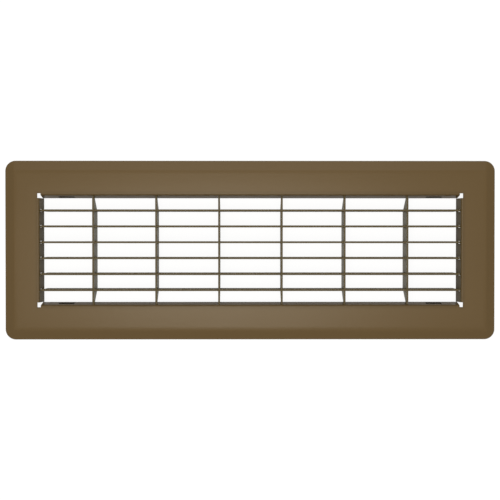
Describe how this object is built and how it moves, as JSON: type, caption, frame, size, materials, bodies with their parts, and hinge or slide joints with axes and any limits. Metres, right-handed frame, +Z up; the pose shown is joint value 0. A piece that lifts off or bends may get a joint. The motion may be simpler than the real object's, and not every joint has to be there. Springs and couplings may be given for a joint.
{
  "type": "floor return air grille",
  "caption": "Drop-in floor return air grille: crowned rectangular sheet-steel frame with a shallow collar, holding straight fins crossed by notched support bars.",
  "frame": {"origin": "middle of the grille in plan, at floor level, the plane that the rim stands on", "axes": "+X along the fins, +Y across them, +Z up out of the floor"},
  "size_m": [0.4, 0.146, 0.023],
  "materials": {
    "brown_enamel": "semi-gloss baked enamel on steel"
  },
  "bodies": {
    "root": {"face_frame": "brown_enamel", "fin_1": "brown_enamel", "fin_2": "brown_enamel", "fin_3": "brown_enamel", "fin_4": "brown_enamel", "fin_5": "brown_enamel", "fin_6": "brown_enamel", "cross_bar_1": "brown_enamel", "cross_bar_2": "brown_enamel", "cross_bar_3": "brown_enamel", "cross_bar_4": "brown_enamel", "cross_bar_5": "brown_enamel", "cross_bar_6": "brown_enamel"}
  },
  "joints": []
}
